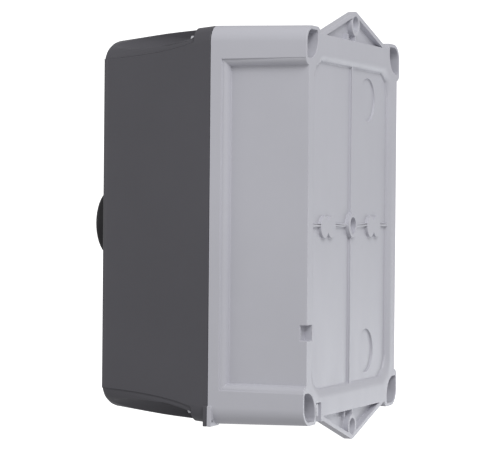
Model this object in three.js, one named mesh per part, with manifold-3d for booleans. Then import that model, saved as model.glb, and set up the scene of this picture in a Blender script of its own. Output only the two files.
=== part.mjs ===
// Surface-mounting insulated enclosure with a rotary switch disconnector: light grey base, deep dark
// grey hood, round handle on the hood, and the switch gear inside on a top-hat rail.
// Units are millimetres. +Z is up, the wall is the plane Y = 0 and the front faces -Y.
// The origin is the centre of the base's back.

import * as THREE from "three";
import { mergeVertices } from "three/addons/utils/BufferGeometryUtils.js";
import Module from "manifold-3d";

const wasm = await Module();
wasm.setup();

// ---- Driving dimensions -------------------------------------------------------------------------

const HALF_WIDTH = 100;
const HALF_HEIGHT = 140;
const DEPTH = 160;
const SEAM_Y = -72;
const FLARE = 1.5;
const CORNER_RADIUS = 12;
const WALL = 3;
const GAP = 0.3;

// The base's four walls lie back from the outline, between a tube in each corner and a front frame.
const RECESS = 5.7;
const TUBE = 25.5;
const TUBE_WALL = 2.6;
const TUBE_CORE_END_Y = -55;
const TUBE_CORE_ROUND = 14.5;
const FRAME_Y = -58.7;
const RECESS_EDGE = 4.8;
const RECESS_HALF_HEIGHT = 112;
const RECESS_HALF_WIDTH = 72;

// The back is a frame around a plate that lies deeper.
const PLATE_Y = -4;
const PLATE = { halfX: 80, halfZ: 116, cornerCut: 16 };
const PLATE_EDGE = 7;
const FLOOR_Y = PLATE_Y - WALL;
const INNER_HALF_WIDTH = HALF_WIDTH - RECESS - WALL;
const INNER_HALF_HEIGHT = HALF_HEIGHT - RECESS - WALL;

// Fixing lugs at the middle of the top and bottom edges.
const LUG_TIP_Z = 148;
const LUG_TIP_RADIUS = 9.5;
const LUG_THICKNESS = 6;
const LUG_FLOOR_Y = -4.4;
const LUG_RIM = 3.5;
const LUG_POCKET_STEP = 1.3;
const LUG_BOSS_RADIUS = 8.7;
const LUG_COUNTERBORE_RADIUS = 6;
const LUG_HOLE_RADIUS = 4;
const LUG_RIB_HALF = 0.8;
const LUG_SIDE_RIB = { x: 13, backY: -1.2 };

// What stands on the plate: two crossing ribs, a middle ring and two pairs of round pads.
const UPRIGHT_RIB = { half: 1.5, length: 118, backY: -2.2 };
const CROSS_RIB = { half: 1.2, length: 81, backY: -2.4 };
const MIDDLE_RING = { radius: 9, bore: 6, backY: -0.6, floorY: -5.2 };
const PAD = { radius: 8, backY: -1.6, z: -1, x: [42, 55.5, -42, -55.5] };
const KNOCKOUT = { x: -38, z: 94.5, radius: 16.3, depth: 1.5 };

// A clip notch in the rear frame's right edge and a slotted web beside the bottom right tube.
const CLIP_NOTCH = { minX: 84, maxX: 96, floorY: -5.5, minZ: -80.3, maxZ: -69.5 };
const WEB = { minX: 60, maxX: 80, thickness: 6, minZ: -139, maxZ: -134 };
const WEB_SLOT = { minX: 65, maxX: 75, floorY: -2.4, maxZ: -125.2 };
const WEB_TAB = { minX: 69.6, backY: -0.3, minZ: -134.6 };

// A square ear for a lead seal at the bottom right corner, half on the base and half on the hood.
const EAR = { minX: 88, maxX: 103, minZ: -142.5, maxZ: -128, holeX: 99.6, holeZ: -139, holeRadius: 1.2 };
const EAR_BASE_THICKNESS = 3.2;
const EAR_HOOD_THICKNESS = 2.8;

// The hood narrows towards its front.
const HOOD_FRONT_HALF_WIDTH = 96.5;
const HOOD_FRONT_HALF_HEIGHT = 133.75;
const HOOD_FRONT_ROUND = 5;
const FLANGE_FRONT_Y = -86;
const HOOD_CORNER = { back: { x: 12, z: 10 }, front: { x: 27, z: 17 } };

// The hood's side panels stand out from its rounded corners, behind an edge that sweeps towards the flange.
const PANEL_RELIEF = 0.8;
const PANEL_EDGE = { frontZ: 118.6, bend: { y: -108, z: 121 }, backZ: 129.5 };

// A screwdriver channel in each corner leads to its screw. It leans outwards and runs out before the front.
const CHANNEL = { back: { x: 88, z: 132, radius: 10.5 }, front: { x: 96, z: 137, radius: 8 } };
const CHANNEL_OPENING = { x: 4, z: 14 };
const SCREW = { x: 94, z: 131, head: 3.4, shank: 2.7, headHeight: 3.2 };

const GASKET_INSET = 1.8;
const GASKET_WIDTH = 3;

const ROSETTE_BACK_Y = -161.5;
const ROSETTE_FRONT_Y = -168;
const NECK_RADIUS = 15;
const NECK_END_Y = -148;
const HUB_RADIUS = 10.8;
const HANDLE_RADIUS = 27;
const HANDLE_FRONT_Y = -DEPTH - 41;
const HANDLE_BACK_Y = ROSETTE_FRONT_Y - 0.5;
const HUB_END_Y = -146;
const SPINDLE_SIDE = 8;
const SPINDLE_END_Y = -156;

const RAIL_Y = -12.3;
const RAIL_DEPTH = 7.5;
const RAIL_HALF_LENGTH = 74;
const RAIL_SCREW_X = 62;
const RAIL_SCREW_RADIUS = 1.6;
const RAIL_BACK_HALF = 13.5;
const RAIL_FRONT_HALF = 17.5;
const DEVICE_BACK_Y = RAIL_Y - RAIL_DEPTH - GAP;
const SWITCH_FRONT_Y = -82;
const ROTOR_RADIUS = 10;
const ROTOR_BACK_Y = -70.3;
const TERMINAL_SHOULDER_Y = -46;

// ---- Materials ----------------------------------------------------------------------------------

function plastic(color, roughness) {
  return new THREE.MeshStandardMaterial({ color, roughness, metalness: 0 });
}

function metal(color, roughness) {
  return new THREE.MeshStandardMaterial({ color, roughness, metalness: 1 });
}

const MATERIALS = {
  lightGrey: plastic(0xc9c9ce, 0.5),
  darkGrey: plastic(0x4f4e54, 0.5),
  paleGrey: plastic(0xc4c5c9, 0.45),
  black: plastic(0x1c1c1e, 0.4),
  switchGrey: plastic(0x3a3b3f, 0.5),
  blue: plastic(0x2d62a8, 0.45),
  green: plastic(0x3f8f4a, 0.45),
  rubber: plastic(0x232323, 0.85),
  zinc: metal(0xb9bcc0, 0.35),
  brass: metal(0xc8a458, 0.35),
};

// ---- Geometry helpers ---------------------------------------------------------------------------

// A three.js geometry as a manifold solid: shared corners are merged and collapsed faces dropped.
function solid(geometry) {
  const bare = geometry.clone();
  bare.deleteAttribute("normal");
  bare.deleteAttribute("uv");
  const merged = mergeVertices(bare, 1e-4);
  const index = merged.index.array;
  const faces = [];
  for (let i = 0; i < index.length; i += 3) {
    const [a, b, c] = [index[i], index[i + 1], index[i + 2]];
    if (a !== b && b !== c && c !== a) {
      faces.push(a, b, c);
    }
  }
  const vertProperties = new Float32Array(merged.attributes.position.array);
  const triVerts = new Uint32Array(faces);
  return new wasm.Manifold(new wasm.Mesh({ numProp: 3, vertProperties, triVerts }));
}

function geometryOf(manifold) {
  const mesh = manifold.getMesh();
  const geometry = new THREE.BufferGeometry();
  geometry.setAttribute("position", new THREE.BufferAttribute(mesh.vertProperties, 3));
  geometry.setIndex(new THREE.BufferAttribute(mesh.triVerts, 1));
  geometry.computeVertexNormals();
  return geometry;
}

function joined(solids) {
  return solids.reduce((sum, next) => sum.add(next));
}

function cutBy(body, cutters) {
  return cutters.reduce((rest, next) => rest.subtract(next), body);
}

// An outline through [x, z, radius] corners, each rounded by an arc of its own radius.
function outline(corners, arcSteps = 5) {
  const points = [];
  corners.forEach(([x, z, radius], i) => {
    const here = new THREE.Vector2(x, z);
    if (radius <= 0) {
      points.push(here);
      return;
    }
    const [px, pz] = corners[(i + corners.length - 1) % corners.length];
    const [nx, nz] = corners[(i + 1) % corners.length];
    const back = new THREE.Vector2(px, pz).sub(here).normalize();
    const ahead = new THREE.Vector2(nx, nz).sub(here).normalize();
    const half = Math.acos(back.dot(ahead)) / 2;
    const middle = back.clone().add(ahead).normalize();
    const centre = here.clone().addScaledVector(middle, radius / Math.sin(half));
    const start = back.clone().multiplyScalar(radius / Math.tan(half)).add(here).sub(centre);
    const end = ahead.clone().multiplyScalar(radius / Math.tan(half)).add(here).sub(centre);
    const sweep = Math.atan2(start.cross(end), start.dot(end));
    for (let step = 0; step <= arcSteps; step += 1) {
      const angle = (sweep * step) / arcSteps;
      points.push(start.clone().rotateAround(new THREE.Vector2(), angle).add(centre));
    }
  });
  return new THREE.Shape(points);
}

function rectangle(halfX, halfZ, radius = 0, arcSteps = 5) {
  const corners = [[halfX, -halfZ], [halfX, halfZ], [-halfX, halfZ], [-halfX, -halfZ]];
  return outline(corners.map(([x, z]) => [x, z, radius]), arcSteps);
}

// The outline drawn in X and Z, filled from one Y to another (front is the lower Y).
function slabGeometry(shape, backY, frontY) {
  const geometry = new THREE.ExtrudeGeometry(shape, { depth: backY - frontY, bevelEnabled: false });
  geometry.rotateX(Math.PI / 2);
  geometry.translate(0, backY, 0);
  return geometry;
}

function slab(shape, backY, frontY) {
  return solid(slabGeometry(shape, backY, frontY));
}

function box(minX, maxX, minY, maxY, minZ, maxZ) {
  const geometry = new THREE.BoxGeometry(maxX - minX, maxY - minY, maxZ - minZ);
  geometry.translate((minX + maxX) / 2, (minY + maxY) / 2, (minZ + maxZ) / 2);
  return solid(geometry);
}

// A cylinder along Y.
function rod(x, z, radius, backY, frontY, sides = 20) {
  const geometry = new THREE.CylinderGeometry(radius, radius, backY - frontY, sides);
  geometry.translate(x, (backY + frontY) / 2, z);
  return solid(geometry);
}

// A turned shape about the Y axis through (x, z), from [radius, y] points.
function turned(x, z, profile, sides = 32) {
  const geometry = new THREE.LatheGeometry(profile.map(([r, y]) => new THREE.Vector2(r, y)), sides);
  geometry.translate(x, 0, z);
  return solid(geometry);
}

// Scales X and Z linearly along Y: 1 at startY, and the given factors at endY.
function taper(geometry, startY, endY, scaleX, scaleZ) {
  const position = geometry.attributes.position;
  for (let i = 0; i < position.count; i += 1) {
    const share = (position.getY(i) - startY) / (endY - startY);
    position.setX(i, position.getX(i) * (1 + (scaleX - 1) * share));
    position.setZ(i, position.getZ(i) * (1 + (scaleZ - 1) * share));
  }
  return geometry;
}

// All four corners of the enclosure, as signs of X and Z.
const CORNERS = [[1, 1], [-1, 1], [-1, -1], [1, -1]];

const group = new THREE.Group();

function place(name, manifold, material) {
  const mesh = new THREE.Mesh(geometryOf(manifold), material);
  mesh.name = name;
  group.add(mesh);
}

// ---- Base ---------------------------------------------------------------------------------------

// The solid between level outlines, each a list of points, one convex slice at a time.
function lofted(levels) {
  return joined(levels.slice(1).map((level, i) => wasm.Manifold.hull([...levels[i], ...level])));
}

// How far an edge rounded outwards lies from a recess's foot, at equal turns from the face to the foot.
function roundedEdge(depth, reach, turns) {
  const edge = [[-2, reach]];
  for (let turn = 0; turn <= turns; turn += 1) {
    const angle = (Math.PI / 2) * (turn / turns);
    edge.push([depth * (1 - Math.cos(angle)), reach * (1 - Math.sin(angle))]);
  }
  return edge;
}

// A wall recess on the +X side: its edges are rounded over, and it is open at the back.
function wallRecess(outerX, halfZ) {
  return lofted(roundedEdge(RECESS, RECESS_EDGE, 5).map(([depth, reach]) => {
    const x = outerX - depth;
    return [FRAME_Y - reach, WALL].flatMap((y) => [[x, y, -halfZ - reach], [x, y, halfZ + reach]]);
  }));
}

function wallRecesses() {
  const side = wallRecess(HALF_WIDTH, RECESS_HALF_HEIGHT);
  const end = wallRecess(HALF_HEIGHT, RECESS_HALF_WIDTH);
  return [side, side.rotate([0, 180, 0]), end.rotate([0, 90, 0]), end.rotate([0, -90, 0])];
}

// The inside of the base, which steps around the four corner tubes. The gasket follows it.
function cavityOutline(offset = 0) {
  const wallX = INNER_HALF_WIDTH + offset;
  const wallZ = INNER_HALF_HEIGHT + offset;
  const tubeX = HALF_WIDTH - TUBE + offset;
  const tubeZ = HALF_HEIGHT - TUBE + offset;
  const outer = 1.5 + offset;
  const inner = CORNER_RADIUS - offset;
  const quarter = [[wallX, tubeZ, outer], [tubeX, tubeZ, inner], [tubeX, wallZ, outer]];
  const mirrored = (sx, sz) => quarter.map(([x, z, r]) => [x * sx, z * sz, r]);
  return outline([
    ...mirrored(1, 1),
    ...mirrored(-1, 1).reverse(),
    ...mirrored(-1, -1),
    ...mirrored(1, -1).reverse(),
  ], 4);
}

// A tube's core is round at its outer corner and at the corner facing the middle of the box.
function tubeCore(sx, sz) {
  const outerX = HALF_WIDTH - TUBE_WALL;
  const outerZ = HALF_HEIGHT - TUBE_WALL;
  const innerX = HALF_WIDTH - TUBE + TUBE_WALL;
  const innerZ = HALF_HEIGHT - TUBE + TUBE_WALL;
  const corners = [
    [outerX, innerZ, 2.5],
    [outerX, outerZ, CORNER_RADIUS - TUBE_WALL],
    [innerX, outerZ, 2.5],
    [innerX, innerZ, TUBE_CORE_ROUND],
  ];
  return slab(outline(corners.map(([x, z, r]) => [x * sx, z * sz, r]), 7), WALL, TUBE_CORE_END_Y);
}

// The deeper plate in the back. Its corners are cut off beside the tubes and its edges rounded over.
function plateRecess() {
  const [outerX, outerZ, cut] = [PLATE.halfX, PLATE.halfZ, PLATE.cornerCut];
  return lofted(roundedEdge(-PLATE_Y, PLATE_EDGE, 5).map(([depth, reach]) => {
    const halfX = outerX + reach * 0.8;
    const halfZ = outerZ + reach;
    const corner = [[halfX, halfZ - cut], [halfX - cut * 0.3, halfZ - cut * 0.36], [halfX - cut, halfZ]];
    const quarters = CORNERS.flatMap(([sx, sz]) => corner.map(([x, z]) => [x * sx, -depth, z * sz]));
    return quarters;
  }));
}

// A triangular lug between two tubes: a rim, a pocket open to the back and a bored boss at its tip.
// up is 1 for the top edge and -1 for the bottom edge.
function makeLug(up) {
  const wallZ = HALF_HEIGHT - RECESS;
  const reach = HALF_WIDTH - TUBE + 1;
  const slope = Math.atan2(LUG_TIP_Z + LUG_TIP_RADIUS - wallZ, reach);
  const tipZ = LUG_TIP_Z + LUG_TIP_RADIUS / Math.cos(slope);
  const pocketTipZ = tipZ - LUG_RIM / Math.cos(slope);
  const pocketZ = wallZ + LUG_POCKET_STEP;
  const pocketReach = ((pocketTipZ - pocketZ) * reach) / (tipZ - wallZ);
  const flipped = (corners) => outline(corners.map(([x, z, r]) => [x, z * up, r]));
  const body = slab(flipped([
    [-reach, wallZ - 1, 0],
    [reach, wallZ - 1, 0],
    [reach, wallZ, 0],
    [0, tipZ, LUG_TIP_RADIUS],
    [-reach, wallZ, 0],
  ]), 0, -LUG_THICKNESS);
  const triangle = [[-pocketReach, pocketZ, 0], [pocketReach, pocketZ, 0], [0, pocketTipZ, 0]];
  const centreZ = LUG_TIP_Z * up;
  const ribEndZ = (LUG_TIP_Z - LUG_BOSS_RADIUS + 1) * up;
  const ribStartZ = (wallZ - 1) * up;
  const [ribLow, ribHigh] = [Math.min(ribStartZ, ribEndZ), Math.max(ribStartZ, ribEndZ)];
  const sideRibX = LUG_SIDE_RIB.x;
  const pocket = cutBy(slab(flipped(triangle), 1, LUG_FLOOR_Y), [
    rod(0, centreZ, LUG_BOSS_RADIUS, 2, -LUG_THICKNESS, 28),
    box(-LUG_RIB_HALF, LUG_RIB_HALF, -LUG_THICKNESS, 2, ribLow, ribHigh),
    box(sideRibX - LUG_RIB_HALF, sideRibX + LUG_RIB_HALF, -LUG_THICKNESS, LUG_SIDE_RIB.backY, ribLow, ribHigh),
  ]);
  return cutBy(body, [
    pocket,
    rod(0, centreZ, LUG_COUNTERBORE_RADIUS, 1, LUG_FLOOR_Y, 24),
    rod(0, centreZ, LUG_HOLE_RADIUS, 1, -LUG_THICKNESS - 1, 24),
  ]);
}

function backRibs() {
  const rootY = PLATE_Y - 1;
  const { half, length, backY } = UPRIGHT_RIB;
  const upright = box(-half, half, rootY, backY, -length, length);
  const cross = box(-CROSS_RIB.length, CROSS_RIB.length, rootY, CROSS_RIB.backY, -CROSS_RIB.half, CROSS_RIB.half);
  const ring = rod(0, 0, MIDDLE_RING.radius, MIDDLE_RING.backY, rootY, 28);
  const pads = PAD.x.map((x) => rod(x, PAD.z, PAD.radius, PAD.backY, rootY, 24));
  return joined([upright, cross, ring, ...pads]);
}

// A thin round break-out, set back from the plate.
function knockout(z) {
  return rod(KNOCKOUT.x, z, KNOCKOUT.radius, PLATE_Y + 1, PLATE_Y - KNOCKOUT.depth, 36);
}

function sealingEar(backY, frontY) {
  const ear = box(EAR.minX, EAR.maxX, frontY, backY, EAR.minZ, EAR.maxZ);
  return ear.subtract(rod(EAR.holeX, EAR.holeZ, EAR.holeRadius, backY + 1, frontY - 1, 12));
}

// The slot beside the bottom right tube, open at the bottom, with a small tab in its outer half.
function webSlot() {
  const { minX, maxX, floorY, maxZ } = WEB_SLOT;
  const tab = box(WEB_TAB.minX, maxX + 1, floorY - 1, WEB_TAB.backY, WEB_TAB.minZ, maxZ - 0.6);
  return box(minX, maxX, floorY, 1, WEB.minZ - 1, maxZ).subtract(tab);
}

function makeBase() {
  const seamScale = [(HALF_WIDTH + FLARE) / HALF_WIDTH, (HALF_HEIGHT + FLARE) / HALF_HEIGHT];
  const block = slabGeometry(rectangle(HALF_WIDTH, HALF_HEIGHT, CORNER_RADIUS), 0, SEAM_Y);
  const shell = cutBy(solid(taper(block, 0, SEAM_Y, ...seamScale)), [
    ...wallRecesses(),
    slab(cavityOutline(), FLOOR_Y, SEAM_Y - 1),
    plateRecess(),
  ]);
  const added = joined([
    shell,
    makeLug(1),
    makeLug(-1),
    backRibs(),
    box(WEB.minX, WEB.maxX, -WEB.thickness, 0, WEB.minZ, WEB.maxZ),
    sealingEar(SEAM_Y + EAR_BASE_THICKNESS, SEAM_Y),
    ...[-RAIL_SCREW_X, RAIL_SCREW_X].map((x) => rod(x, 0, 6, FLOOR_Y + 1, RAIL_Y + GAP)),
  ]);
  const grooveOuter = slab(cavityOutline(GASKET_INSET + GASKET_WIDTH + GAP), SEAM_Y + 3, SEAM_Y - 1);
  const grooveInner = slab(cavityOutline(GASKET_INSET - GAP), SEAM_Y + 4, SEAM_Y - 2);
  return cutBy(added, [
    ...CORNERS.map(([sx, sz]) => tubeCore(sx, sz)),
    ...CORNERS.map(([sx, sz]) => rod(SCREW.x * sx, SCREW.z * sz, SCREW.shank + 0.4, -50, SEAM_Y - 1)),
    ...[-RAIL_SCREW_X, RAIL_SCREW_X].map((x) => rod(x, 0, RAIL_SCREW_RADIUS + GAP, -8.5, RAIL_Y - 1, 12)),
    grooveOuter.subtract(grooveInner),
    rod(0, 0, MIDDLE_RING.bore, 1, MIDDLE_RING.floorY, 24),
    knockout(KNOCKOUT.z),
    knockout(-KNOCKOUT.z),
    box(CLIP_NOTCH.minX, CLIP_NOTCH.maxX, CLIP_NOTCH.floorY, 1, CLIP_NOTCH.minZ, CLIP_NOTCH.maxZ),
    webSlot(),
  ]);
}

function makeGasket() {
  const outer = slab(cavityOutline(GASKET_INSET + GASKET_WIDTH), SEAM_Y + 3 - GAP, SEAM_Y);
  const inner = slab(cavityOutline(GASKET_INSET), SEAM_Y + 4, SEAM_Y - 1);
  return outer.subtract(inner);
}

// ---- Hood ---------------------------------------------------------------------------------------

// A filled outline with a rounded front edge. The back is cut square at the seam.
function roundFronted(shape, frontY, round) {
  const extra = 2 * round;
  const depth = SEAM_Y - GAP - frontY + extra;
  const geometry = new THREE.ExtrudeGeometry(shape, {
    depth: depth - 2 * round,
    bevelThickness: round,
    bevelSize: round,
    bevelOffset: -round,
    bevelSegments: 3,
  });
  geometry.rotateX(Math.PI / 2);
  geometry.translate(0, frontY + depth - round, 0);
  return geometry;
}

// The outline of the hood's rounded core at one depth, with elliptical corners.
function coreLevel(y, insetX, insetZ) {
  const share = (y - SEAM_Y) / (-DEPTH - SEAM_Y);
  const between = (back, front) => back + (front - back) * share;
  const halfX = between(HALF_WIDTH + FLARE, HOOD_FRONT_HALF_WIDTH) - insetX;
  const halfZ = between(HALF_HEIGHT + FLARE, HOOD_FRONT_HALF_HEIGHT) - insetZ;
  const roundX = between(HOOD_CORNER.back.x, HOOD_CORNER.front.x) - insetZ;
  const roundZ = between(HOOD_CORNER.back.z, HOOD_CORNER.front.z) - insetZ;
  const turns = 10;
  return CORNERS.flatMap(([sx, sz]) => Array.from({ length: turns + 1 }, (_, turn) => {
    const angle = (Math.PI / 2) * (turn / turns);
    const x = halfX - roundX * (1 - Math.cos(angle));
    const z = halfZ - roundZ * (1 - Math.sin(angle));
    return [x * sx, y, z * sz];
  }));
}

// The core's outside, with a rounded front edge.
function hoodCore() {
  const turns = 4;
  const points = coreLevel(SEAM_Y - GAP, PANEL_RELIEF, 0);
  for (let turn = 0; turn <= turns; turn += 1) {
    const angle = (Math.PI / 2) * (turn / turns);
    const inset = HOOD_FRONT_ROUND * (1 - Math.cos(angle));
    const y = -DEPTH + HOOD_FRONT_ROUND * (1 - Math.sin(angle));
    points.push(...coreLevel(y, PANEL_RELIEF + inset, inset));
  }
  return wasm.Manifold.hull(points);
}

// The side view of the panels, which cuts them from the hood's full outline.
function panelBeam() {
  const frontY = -DEPTH - 5;
  const sweep = new THREE.QuadraticBezierCurve(
    new THREE.Vector2(frontY, PANEL_EDGE.frontZ),
    new THREE.Vector2(PANEL_EDGE.bend.y, PANEL_EDGE.bend.z),
    new THREE.Vector2(FLANGE_FRONT_Y, PANEL_EDGE.backZ),
  );
  const upper = sweep.getPoints(12).map((point) => [point.x, point.y]);
  const lower = upper.map(([y, z]) => [y, -z]).reverse();
  return beam([...upper, ...lower], -110, 110);
}

// The space cut from a corner in front of the flange, open towards the top, or that space with its wall.
function channel(sx, sz, wall = 0, backY = FLANGE_FRONT_Y) {
  const sides = 32;
  const ring = ({ x, z, radius }, y, opening) => Array.from({ length: sides }, (_, i) => {
    const angle = (2 * Math.PI * i) / sides;
    const ringX = x + opening * CHANNEL_OPENING.x + (radius + wall) * Math.cos(angle);
    const ringZ = z + opening * CHANNEL_OPENING.z + (radius + wall) * Math.sin(angle);
    return [ringX * sx, y, ringZ * sz];
  });
  return wasm.Manifold.hull([0, 1].flatMap((opening) => [
    ...ring(CHANNEL.back, backY, opening),
    ...ring(CHANNEL.front, -DEPTH - 10, opening),
  ]));
}

function makeHood() {
  const backHalfX = HALF_WIDTH + FLARE;
  const backHalfZ = HALF_HEIGHT + FLARE;
  const scaleX = HOOD_FRONT_HALF_WIDTH / backHalfX;
  const scaleZ = HOOD_FRONT_HALF_HEIGHT / backHalfZ;
  const full = roundFronted(rectangle(backHalfX, backHalfZ, CORNER_RADIUS), -DEPTH, HOOD_FRONT_ROUND);
  const flange = box(-120, 120, FLANGE_FRONT_Y, SEAM_Y, -160, 160);
  const outer = solid(taper(full, SEAM_Y, -DEPTH, scaleX, scaleZ))
    .intersect(flange.add(panelBeam()))
    .add(hoodCore());
  const cavity = wasm.Manifold.hull([
    ...coreLevel(SEAM_Y + 2, WALL, WALL),
    ...coreLevel(-DEPTH + WALL, WALL, WALL),
  ]).subtract(joined(CORNERS.map(([sx, sz]) => channel(sx, sz, WALL, SEAM_Y + 3))));

  const body = cutBy(outer, [
    box(-120, 120, SEAM_Y - GAP, SEAM_Y + 20, -160, 160),
    ...CORNERS.map(([sx, sz]) => channel(sx, sz)),
    cavity,
  ]);
  return cutBy(body.add(sealingEar(SEAM_Y - GAP, SEAM_Y - GAP - EAR_HOOD_THICKNESS)), [
    ...CORNERS.map(([sx, sz]) => rod(SCREW.x * sx, SCREW.z * sz, SCREW.shank + 0.4, SEAM_Y + 1, -90)),
    rod(0, 0, NECK_RADIUS + GAP, -150, -DEPTH - 1, 32),
  ]);
}

// A captive cover screw with a cross slot in its head, lying on the flange.
function coverScrew(sx, sz) {
  const x = SCREW.x * sx;
  const z = SCREW.z * sz;
  const headBackY = FLANGE_FRONT_Y - GAP;
  const headFrontY = headBackY - SCREW.headHeight;
  const screw = rod(x, z, SCREW.head, headBackY, headFrontY, 20)
    .add(rod(x, z, SCREW.shank, -58, headBackY - 1, 16));
  return cutBy(screw, [
    box(x - 0.6, x + 0.6, headFrontY - 1, headFrontY + 1.6, z - 5, z + 5),
    box(x - 5, x + 5, headFrontY - 1, headFrontY + 1.6, z - 0.6, z + 0.6),
  ]);
}

// ---- Handle -------------------------------------------------------------------------------------

function makeRosette() {
  const plate = slab(rectangle(33, 33, 8), ROSETTE_BACK_Y, ROSETTE_FRONT_Y);
  const neck = rod(0, 0, NECK_RADIUS, NECK_END_Y, ROSETTE_BACK_Y - 1, 32);
  return plate.add(neck).subtract(rod(0, 0, HUB_RADIUS + 0.5, -140, ROSETTE_FRONT_Y - 1, 32));
}

function makeRosetteSeal() {
  const disc = rod(0, 0, 30, -DEPTH - GAP, ROSETTE_BACK_Y + GAP, 32);
  return disc.subtract(rod(0, 0, NECK_RADIUS + GAP, -DEPTH + 1, ROSETTE_BACK_Y - 1, 32));
}

function makeRosetteNut() {
  const backY = -DEPTH + WALL + GAP + 5;
  const hexagon = rod(0, 0, 22, backY, backY - 5, 6);
  return hexagon.subtract(rod(0, 0, NECK_RADIUS + GAP, backY + 1, backY - 6, 32));
}

// The handle turns in the rosette. Two finger pockets leave a bar to grip across its face.
function makeHandle() {
  const edge = 4;
  const profile = [[0, HANDLE_FRONT_Y]];
  for (let step = 0; step <= 3; step += 1) {
    const angle = (Math.PI / 2) * (step / 3);
    profile.push([
      HANDLE_RADIUS - edge + edge * Math.sin(angle),
      HANDLE_FRONT_Y + edge - edge * Math.cos(angle),
    ]);
  }
  profile.push([HANDLE_RADIUS, -172], [HANDLE_RADIUS - 3, HANDLE_BACK_Y], [HUB_RADIUS, HANDLE_BACK_Y]);
  profile.push([HUB_RADIUS, HUB_END_Y], [0, HUB_END_Y]);
  const pockets = rod(0, 0, HANDLE_RADIUS - 4, HANDLE_FRONT_Y + 13, HANDLE_FRONT_Y - 1, 32)
    .subtract(box(-6.5, 6.5, HANDLE_FRONT_Y - 2, HANDLE_FRONT_Y + 14, -40, 40));
  const half = SPINDLE_SIDE / 2 + 0.4;
  return cutBy(turned(0, 0, profile, 40), [
    pockets,
    box(-half, half, SPINDLE_END_Y - 4, HUB_END_Y + 1, -half, half),
  ]);
}

// ---- Switch gear --------------------------------------------------------------------------------

// An outline in Y and Z carried along X.
function beam(points, minX, maxX) {
  const shape = new THREE.Shape(points.map(([y, z]) => new THREE.Vector2(y, z)));
  const geometry = new THREE.ExtrudeGeometry(shape, { depth: maxX - minX, bevelEnabled: false });
  const [x, y, z] = [new THREE.Vector3(1, 0, 0), new THREE.Vector3(0, 1, 0), new THREE.Vector3(0, 0, 1)];
  geometry.applyMatrix4(new THREE.Matrix4().makeBasis(y, z, x));
  geometry.translate(minX, 0, 0);
  return solid(geometry);
}

function makeRail() {
  const back = RAIL_Y;
  const front = RAIL_Y - RAIL_DEPTH;
  const half = [
    [front + 1, RAIL_BACK_HALF],
    [front + 1, RAIL_FRONT_HALF],
    [front, RAIL_FRONT_HALF],
    [front, RAIL_BACK_HALF - 1],
    [back - 1, RAIL_BACK_HALF - 1],
  ];
  const lower = half.map(([y, z]) => [y, -z]).reverse();
  const points = [[back, -RAIL_BACK_HALF], [back, RAIL_BACK_HALF], ...half, ...lower];
  const screwHoles = [-RAIL_SCREW_X, RAIL_SCREW_X].map(
    (x) => rod(x, 0, RAIL_SCREW_RADIUS + 0.5, back + 1, front - 1, 12),
  );
  return cutBy(beam(points, -RAIL_HALF_LENGTH, RAIL_HALF_LENGTH), screwHoles);
}

// A slotted screw whose head lies in front of headBackY.
function slottedScrew(x, z, headRadius, shankRadius, headBackY, endY) {
  const headFrontY = headBackY - 2.4;
  return rod(x, z, headRadius, headBackY, headFrontY, 16)
    .add(rod(x, z, shankRadius, endY, headBackY - 1, 12))
    .subtract(box(x - 0.4, x + 0.4, headFrontY - 1, headFrontY + 1.2, z - headRadius - 1, z + headRadius + 1));
}

// The two claws by which a device grips the rail's front flanges.
function railClaws(minX, maxX) {
  const clawFrontY = DEVICE_BACK_Y - 1;
  const lipBackY = RAIL_Y - RAIL_DEPTH + 1 + GAP + 2;
  const parts = [];
  for (const up of [1, -1]) {
    const claw = [
      [clawFrontY, RAIL_FRONT_HALF + GAP],
      [lipBackY - 2, RAIL_FRONT_HALF + GAP],
      [lipBackY - 2, RAIL_BACK_HALF + 1.2],
      [lipBackY, RAIL_BACK_HALF + 1.2],
      [lipBackY, RAIL_FRONT_HALF + 3.5],
      [clawFrontY, RAIL_FRONT_HALF + 3.5],
    ];
    parts.push(beam(claw.map(([y, z]) => [y, z * up]), minX, maxX));
  }
  return joined(parts);
}

const SWITCH_TERMINALS = [-24, 0, 24].flatMap((x) => [[x, 36], [x, -36]]);

function makeSwitchBody() {
  const shoulderY = -60;
  const body = joined([
    box(-38, 38, shoulderY, DEVICE_BACK_Y, -44, 44),
    box(-38, 38, SWITCH_FRONT_Y, shoulderY + 1, -27, 27),
    rod(0, 0, 16, SWITCH_FRONT_Y + 1, SWITCH_FRONT_Y - 2, 28),
    railClaws(-30, 30),
  ]);
  return cutBy(body, [
    rod(0, 0, ROTOR_RADIUS + 0.4, ROTOR_BACK_Y + GAP, SWITCH_FRONT_Y - 3, 28),
    ...SWITCH_TERMINALS.map(([x, z]) => rod(x, z, 4.2, shoulderY + 12, shoulderY - 1, 16)),
    ...SWITCH_TERMINALS.map(([x, z]) => {
      const [low, high] = z > 0 ? [34, 46] : [-46, -34];
      return box(x - 5, x + 5, -46, -34, low, high);
    }),
  ]);
}

function makeSpindle() {
  const half = SPINDLE_SIDE / 2;
  return rod(0, 0, ROTOR_RADIUS, ROTOR_BACK_Y, SWITCH_FRONT_Y - 1.5, 28)
    .add(box(-half, half, SPINDLE_END_Y, SWITCH_FRONT_Y - 1, -half, half));
}

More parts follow.
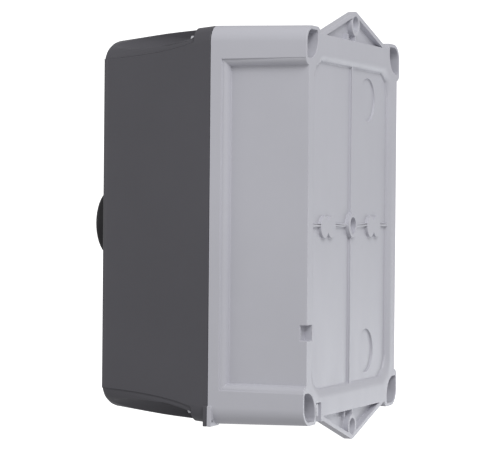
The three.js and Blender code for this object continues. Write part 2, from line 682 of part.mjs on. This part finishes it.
// A single-pole terminal with its two clamping screws on lowered shoulders.
function makeTerminal(minX, maxX) {
  const middleX = (minX + maxX) / 2;
  const body = joined([
    box(minX, maxX, TERMINAL_SHOULDER_Y, DEVICE_BACK_Y, -27, 27),
    box(minX, maxX, TERMINAL_SHOULDER_Y - 12, TERMINAL_SHOULDER_Y + 1, -11, 11),
    railClaws(minX, maxX),
  ]);
  return cutBy(body, [1, -1].flatMap((up) => [
    rod(middleX, 19 * up, 3.8, TERMINAL_SHOULDER_Y + 9, TERMINAL_SHOULDER_Y - 1, 16),
    box(middleX - 3.5, middleX + 3.5, -36, -28, Math.min(17 * up, 29 * up), Math.max(17 * up, 29 * up)),
  ]));
}

function makeRailStop(minX, maxX) {
  return box(minX, maxX, -34, DEVICE_BACK_Y, -21, 21).add(railClaws(minX, maxX));
}

// ---- The object ---------------------------------------------------------------------------------

place("base_housing", makeBase(), MATERIALS.lightGrey);
place("cover_gasket", makeGasket(), MATERIALS.rubber);
place("mounting_rail", makeRail(), MATERIALS.zinc);

const RAIL_WEB_FRONT_Y = RAIL_Y - 1 - GAP;
for (const [side, sign] of [["left", -1], ["right", 1]]) {
  const screw = slottedScrew(RAIL_SCREW_X * sign, 0, 3.6, RAIL_SCREW_RADIUS, RAIL_WEB_FRONT_Y, -9);
  place(`rail_screw_${side}`, screw, MATERIALS.zinc);
  const stopInner = 55.5 * sign;
  const stopOuter = 52 * sign;
  const stop = makeRailStop(Math.min(stopInner, stopOuter), Math.max(stopInner, stopOuter));
  place(`rail_stop_${side}`, stop, MATERIALS.paleGrey);
}

place("switch_body", makeSwitchBody(), MATERIALS.switchGrey);
place("switch_spindle", makeSpindle(), MATERIALS.zinc);
SWITCH_TERMINALS.forEach(([x, z], i) => {
  place(`switch_terminal_screw_${i + 1}`, slottedScrew(x, z, 3.8, 2, -52, -49), MATERIALS.brass);
});

for (const [name, sign, material] of [
  ["neutral_terminal", 1, MATERIALS.blue],
  ["earth_terminal", -1, MATERIALS.green],
]) {
  const [near, far] = [39 * sign, 51.5 * sign];
  const minX = Math.min(near, far);
  const maxX = Math.max(near, far);
  place(name, makeTerminal(minX, maxX), material);
  for (const [end, up] of [["top", 1], ["bottom", -1]]) {
    const middleX = (minX + maxX) / 2;
    const screw = slottedScrew(middleX, 19 * up, 3.4, 1.8, TERMINAL_SHOULDER_Y + 6, TERMINAL_SHOULDER_Y + 8.6);
    place(`${name}_screw_${end}`, screw, MATERIALS.brass);
  }
}

place("cover_hood", makeHood(), MATERIALS.darkGrey);
CORNERS.forEach(([sx, sz]) => {
  const name = `cover_screw_${sz > 0 ? "top" : "bottom"}_${sx > 0 ? "right" : "left"}`;
  place(name, coverScrew(sx, sz), MATERIALS.paleGrey);
});

place("rosette_seal", makeRosetteSeal(), MATERIALS.rubber);
place("handle_rosette", makeRosette(), MATERIALS.black);
place("rosette_nut", makeRosetteNut(), MATERIALS.switchGrey);
place("handle", makeHandle(), MATERIALS.black);

export default group;
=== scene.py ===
# Surface-mounting switch enclosure seen from behind: light grey base with open corner tubes, dark grey
# hood, black round handle. Metres, +Z up, the wall is the plane Y = 0 and the front faces -Y.

import math

import bmesh
import bpy
from mathutils import Matrix, Vector


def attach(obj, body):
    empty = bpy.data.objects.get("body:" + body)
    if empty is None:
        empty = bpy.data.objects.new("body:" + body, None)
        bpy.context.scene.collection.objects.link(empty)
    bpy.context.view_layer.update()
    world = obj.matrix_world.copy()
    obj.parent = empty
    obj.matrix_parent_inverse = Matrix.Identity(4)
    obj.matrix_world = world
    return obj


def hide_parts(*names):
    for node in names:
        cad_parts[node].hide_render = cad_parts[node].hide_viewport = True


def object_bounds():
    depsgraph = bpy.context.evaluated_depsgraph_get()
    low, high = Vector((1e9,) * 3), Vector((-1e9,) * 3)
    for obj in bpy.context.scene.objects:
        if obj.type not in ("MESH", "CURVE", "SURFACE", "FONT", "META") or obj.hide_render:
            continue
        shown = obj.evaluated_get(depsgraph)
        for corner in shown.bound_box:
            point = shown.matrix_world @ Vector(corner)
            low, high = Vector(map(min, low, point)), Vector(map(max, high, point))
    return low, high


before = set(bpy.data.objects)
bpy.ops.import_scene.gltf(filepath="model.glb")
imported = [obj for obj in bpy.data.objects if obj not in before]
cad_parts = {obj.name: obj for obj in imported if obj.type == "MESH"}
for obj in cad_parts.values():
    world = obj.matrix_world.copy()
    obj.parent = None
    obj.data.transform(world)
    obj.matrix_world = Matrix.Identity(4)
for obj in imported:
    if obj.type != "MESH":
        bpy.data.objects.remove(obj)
cad_low, cad_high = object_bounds()

MM = 0.001

# The camera stands behind the enclosure's right side, level with its middle, with a long lens.
CAMERA_PLACE = (1.44457, 0.52595, 0.00982)
CAMERA_YAW, CAMERA_PITCH, CAMERA_ROLL = (math.radians(angle) for angle in (22.87, -0.38, 0.51))
CAMERA_LENS = 149.96376
CAMERA_SENSOR = 36

# The soft lights: name, place, size, power and colour. Each one points at the middle of the enclosure.
MIDDLE = (0, -0.08, 0)
SOFT_LIGHTS = [
    ("overhead", (1.0, 0.95, 1.15), (0.9, 0.9), 16.5, (1, 1, 1)),
    ("low_behind", (-1.95, 0.95, -0.85), (1.4, 1.4), 14, (0.93, 0.96, 1)),
    ("front_fill", (1.1, -1.7, 0.4), (0.8, 1.2), 3, (1, 1, 1)),
]
ROOM_LIGHT = 0.46
BACKDROP_LIGHT = 1.3

FLOOR_HALF_SIZE = 6
FLOOR_CLEARANCE = 0.5 * MM
FLOOR_GLOW = 0.95

# Vertices closer than WELD are one, and slivers thinner than SLIVER are removed before edges are rounded.
WELD = 0.02 * MM
SLIVER = 0.01 * MM
FLAT_ANGLE = math.radians(0.6)
HARD_ANGLE = math.radians(27)
EDGE_STEPS = 2


# ---- Camera --------------------------------------------------------------------------------------

def place_camera():
    level = math.cos(CAMERA_PITCH)
    forward = Vector((
        -math.cos(CAMERA_YAW) * level,
        -math.sin(CAMERA_YAW) * level,
        math.sin(CAMERA_PITCH),
    ))
    right = forward.cross(Vector((0, 0, 1))).normalized()
    up = right.cross(forward)
    turned_right = math.cos(CAMERA_ROLL) * right + math.sin(CAMERA_ROLL) * up
    turned_up = -math.sin(CAMERA_ROLL) * right + math.cos(CAMERA_ROLL) * up
    camera = bpy.data.cameras.new("camera")
    camera.sensor_width = CAMERA_SENSOR
    camera.lens = CAMERA_LENS
    camera.clip_start = 0.05
    camera.clip_end = 20
    view = bpy.data.objects.new("camera", camera)
    turn = Matrix((turned_right, turned_up, -forward)).transposed()
    view.matrix_world = Matrix.Translation(CAMERA_PLACE) @ turn.to_4x4()
    bpy.context.collection.objects.link(view)
    bpy.context.scene.camera = view


# ---- Materials -----------------------------------------------------------------------------------

def linear(red, green, blue):
    """A screen colour of 0 to 255 as the shader's linear colour."""
    def channel(value):
        value /= 255
        return value / 12.92 if value <= 0.04045 else ((value + 0.055) / 1.055) ** 2.4
    return (channel(red), channel(green), channel(blue), 1)


def shaded(colour, shade):
    """The same colour made darker."""
    return tuple(channel * shade for channel in colour[:3]) + (1,)


class Finish:
    """A node material around one Principled shader, reading the piece's own coordinates."""

    def __init__(self, name):
        self.material = bpy.data.materials.new(name)
        self.material.use_nodes = True
        self.nodes = self.material.node_tree.nodes
        self.links = self.material.node_tree.links
        self.shader = self.nodes["Principled BSDF"]
        self.place = self.nodes.new("ShaderNodeTexCoord").outputs["Object"]

    def join(self, output, socket):
        self.links.new(output, socket)

    def feed(self, name, output):
        self.join(output, self.shader.inputs[name])

    def stretched(self, scale):
        mapping = self.nodes.new("ShaderNodeMapping")
        mapping.inputs["Scale"].default_value = scale
        self.join(self.place, mapping.inputs["Vector"])
        return mapping.outputs["Vector"]

    def noise(self, scale, detail=3, roughness=0.5, place=None):
        noise = self.nodes.new("ShaderNodeTexNoise")
        noise.inputs["Scale"].default_value = scale
        noise.inputs["Detail"].default_value = detail
        noise.inputs["Roughness"].default_value = roughness
        self.join(place or self.place, noise.inputs["Vector"])
        return noise.outputs["Fac"]

    def cells(self, scale):
        cells = self.nodes.new("ShaderNodeTexVoronoi")
        cells.inputs["Scale"].default_value = scale
        self.join(self.place, cells.inputs["Vector"])
        return cells.outputs["Distance"]

    def spread(self, value, low, high, from_low=0.3, from_high=0.7):
        spread = self.nodes.new("ShaderNodeMapRange")
        spread.inputs["From Min"].default_value = from_low
        spread.inputs["From Max"].default_value = from_high
        spread.inputs["To Min"].default_value = low
        spread.inputs["To Max"].default_value = high
        self.join(value, spread.inputs["Value"])
        return spread.outputs["Result"]

    def colour_between(self, value, first, second):
        mix = self.nodes.new("ShaderNodeMix")
        mix.data_type = "RGBA"
        mix.inputs["A"].default_value = first
        mix.inputs["B"].default_value = second
        self.join(value, mix.inputs["Factor"])
        return mix.outputs["Result"]

    def relief(self, height, distance, strength, under=None):
        bump = self.nodes.new("ShaderNodeBump")
        bump.inputs["Distance"].default_value = distance
        bump.inputs["Strength"].default_value = strength
        self.join(height, bump.inputs["Height"])
        if under:
            self.join(under, bump.inputs["Normal"])
        return bump.outputs["Normal"]

    def set(self, **values):
        for name, value in values.items():
            self.shader.inputs[name.replace("_", " ")].default_value = value
        return self


def moulded_plastic(name, colour, roughness, grain=0.25, shade=0.93, specular=0.5):
    """Satin moulding: spark-eroded grain, a slow drift of shade, and faint rubbed marks in the gloss."""
    finish = Finish(name).set(Specular_IOR_Level=specular, IOR=1.48)
    drift = finish.spread(finish.noise(14, 4, 0.6), 0, 1)
    finish.feed("Base Color", finish.colour_between(drift, shaded(colour, shade), colour))
    marks = finish.noise(60, 6, 0.7, finish.stretched((1, 1, 0.25)))
    finish.feed("Roughness", finish.spread(marks, roughness - 0.05, roughness + 0.07))
    ripple = finish.relief(finish.noise(45, 2), 0.0004, 0.06)
    spark = finish.relief(finish.noise(2600, 2, 0.6), 0.00004, grain, ripple)
    finish.feed("Normal", spark)
    return finish.material


def bright_metal(name, colour, roughness, brushed=(1, 1, 1), relief=0.2):
    """Plated or machined metal, with fine lay lines along the axis that brushed scales down."""
    finish = Finish(name).set(Metallic=1)
    lay = finish.noise(900, 4, 0.6, finish.stretched(brushed))
    cloud = finish.noise(70, 3)
    tone = finish.spread(cloud, 0, 1)
    finish.feed("Base Color", finish.colour_between(tone, shaded(colour, 0.82), colour))
    finish.feed("Roughness", finish.spread(lay, roughness - 0.07, roughness + 0.1))
    finish.feed("Normal", finish.relief(lay, 0.00005, relief))
    return finish.material


def foamed_rubber(name, colour):
    """Matte rubber with fine open pores."""
    finish = Finish(name).set(Specular_IOR_Level=0.35)
    pores = finish.cells(1500)
    tone = finish.spread(pores, 0, 1, 0.1, 0.6)
    finish.feed("Base Color", finish.colour_between(tone, shaded(colour, 0.6), colour))
    finish.feed("Roughness", finish.spread(finish.noise(200), 0.75, 0.92))
    finish.feed("Normal", finish.relief(pores, 0.0001, 0.5))
    return finish.material


FINISHES = {
    "light_grey_housing": moulded_plastic("light_grey_moulding", linear(196, 196, 204), 0.42, 0.22, 0.96),
    "dark_grey_hood": moulded_plastic("dark_grey_moulding", linear(84, 83, 89), 0.45, 0.3, 0.92),
    "pale_grey_plastic": moulded_plastic("pale_grey_polyamide", linear(200, 200, 206), 0.34, 0.15, 0.95),
    "handle_black": moulded_plastic("black_polyamide", linear(40, 39, 43), 0.42, 0.3, 0.88, 0.4),
    "switch_plastic": moulded_plastic("graphite_thermoset", linear(58, 59, 63), 0.48, 0.3, 0.88),
    "neutral_blue": moulded_plastic("blue_polyamide", linear(45, 98, 168), 0.4, 0.2, 0.9),
    "earth_green": moulded_plastic("green_polyamide", linear(63, 143, 74), 0.4, 0.2, 0.9),
    "black_rubber": foamed_rubber("black_foamed_rubber", linear(44, 44, 45)),
    "zinc_steel": bright_metal("zinc_plated_steel", linear(196, 199, 203), 0.34, (0.04, 1, 1)),
    "spindle_steel": bright_metal("drawn_square_bar", linear(186, 186, 188), 0.3, (1, 0.03, 1)),
    "terminal_screw_metal": bright_metal("machined_brass", linear(214, 184, 118), 0.3, (1, 1, 1), 0.1),
}


# ---- Pieces --------------------------------------------------------------------------------------

def rounded_from(node, radius):
    """The node's form with its hard edges rounded. Flat areas are merged and then cut into convex faces."""
    shape = bmesh.new()
    shape.from_mesh(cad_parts[node].data)
    bmesh.ops.remove_doubles(shape, verts=shape.verts, dist=WELD)
    bmesh.ops.dissolve_degenerate(shape, edges=shape.edges, dist=SLIVER)
    bmesh.ops.dissolve_limit(shape, angle_limit=FLAT_ANGLE, verts=shape.verts, edges=shape.edges)
    bmesh.ops.connect_verts_concave(shape, faces=shape.faces)
    hard = [
        edge for edge in shape.edges
        if len(edge.link_faces) == 2 and abs(edge.calc_face_angle(0)) > HARD_ANGLE
    ]
    bmesh.ops.bevel(
        shape, geom=hard, offset=radius, offset_type="OFFSET", affect="EDGES", segments=EDGE_STEPS,
        profile=0.5, clamp_overlap=False, material=-1, miter_outer="ARC",
    )
    return shape


def add_piece(name, shape, body, slot, node):
    mesh = bpy.data.meshes.new(name)
    for face in shape.faces:
        face.smooth = True
    shape.to_mesh(mesh)
    shape.free()
    piece = bpy.data.objects.new(name, mesh)
    bpy.context.collection.objects.link(piece)
    mesh.materials.append(FINISHES[slot])
    normals = piece.modifiers.new("even_shading", "WEIGHTED_NORMAL")
    normals.keep_sharp = True
    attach(piece, body)
    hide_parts(node)


# Each piece: its node, its body, its material slot and the radius of its edges in millimetres.
PIECES = [
    ("base_housing", "base", "light_grey_housing", 0.45),
    ("cover_gasket", "base", "black_rubber", 0.4),
    ("mounting_rail", "base", "zinc_steel", 0.2),
    ("switch_body", "base", "switch_plastic", 0.5),
    ("switch_spindle", "spindle", "spindle_steel", 0.35),
    ("neutral_terminal", "base", "neutral_blue", 0.35),
    ("earth_terminal", "base", "earth_green", 0.35),
    ("cover_hood", "cover", "dark_grey_hood", 0.6),
    ("rosette_seal", "cover", "black_rubber", 0.2),
    ("handle_rosette", "cover", "handle_black", 0.5),
    ("rosette_nut", "cover", "switch_plastic", 0.5),
    ("handle", "handle", "handle_black", 0.5),
]
for side in ("left", "right"):
    PIECES.append((f"rail_screw_{side}", "base", "zinc_steel", 0.15))
    PIECES.append((f"rail_stop_{side}", "base", "pale_grey_plastic", 0.4))
for number in range(1, 7):
    PIECES.append((f"switch_terminal_screw_{number}", "base", "terminal_screw_metal", 0.15))
for row in ("neutral", "earth"):
    for end in ("top", "bottom"):
        PIECES.append((f"{row}_terminal_screw_{end}", "base", "terminal_screw_metal", 0.15))
for corner in ("top_right", "top_left", "bottom_left", "bottom_right"):
    PIECES.append((f"cover_screw_{corner}", f"cover_screw_{corner}", "pale_grey_plastic", 0.25))

for node, body, slot, radius in PIECES:
    add_piece(f"finished_{node}", rounded_from(node, radius * MM), body, slot, node)


# ---- Floor, light and camera ---------------------------------------------------------------------

def add_floor():
    shape = bmesh.new()
    bmesh.ops.create_grid(shape, x_segments=1, y_segments=1, size=FLOOR_HALF_SIZE)
    bmesh.ops.translate(shape, verts=shape.verts, vec=(0, 0, cad_low.z - FLOOR_CLEARANCE))
    mesh = bpy.data.meshes.new("floor")
    shape.to_mesh(mesh)
    shape.free()
    floor = bpy.data.objects.new("floor", mesh)
    bpy.context.collection.objects.link(floor)
    paper = Finish("pale_floor").set(
        Roughness=0.9, Emission_Color=(1, 1, 1, 1), Emission_Strength=FLOOR_GLOW,
    )
    tone = paper.spread(paper.noise(3), 0, 1)
    paper.feed("Base Color", paper.colour_between(tone, (0.86, 0.86, 0.87, 1), (0.9, 0.9, 0.9, 1)))
    mesh.materials.append(paper.material)
    floor.visible_diffuse = False
    floor.visible_glossy = False
    floor.visible_shadow = False


def add_soft_light(name, place, size, power, colour):
    light = bpy.data.lights.new(name, "AREA")
    light.shape = "RECTANGLE"
    light.size, light.size_y = size
    light.energy = power
    light.color = colour
    lamp = bpy.data.objects.new(name, light)
    lamp.location = place
    lamp.rotation_euler = (Vector(MIDDLE) - Vector(place)).to_track_quat("-Z", "Y").to_euler()
    bpy.context.collection.objects.link(lamp)


def light_studio():
    bpy.context.scene.view_settings.view_transform = "Standard"
    world = bpy.data.worlds.new("studio")
    world.use_nodes = True
    nodes, links = world.node_tree.nodes, world.node_tree.links
    nodes["Background"].inputs["Color"].default_value = (1, 1, 1, 1)
    seen = nodes.new("ShaderNodeLightPath").outputs["Is Camera Ray"]
    strength = nodes.new("ShaderNodeMapRange")
    strength.inputs["To Min"].default_value = ROOM_LIGHT
    strength.inputs["To Max"].default_value = BACKDROP_LIGHT
    links.new(seen, strength.inputs["Value"])
    links.new(strength.outputs["Result"], nodes["Background"].inputs["Strength"])
    bpy.context.scene.world = world
    for soft_light in SOFT_LIGHTS:
        add_soft_light(*soft_light)


place_camera()
add_floor()
light_studio()
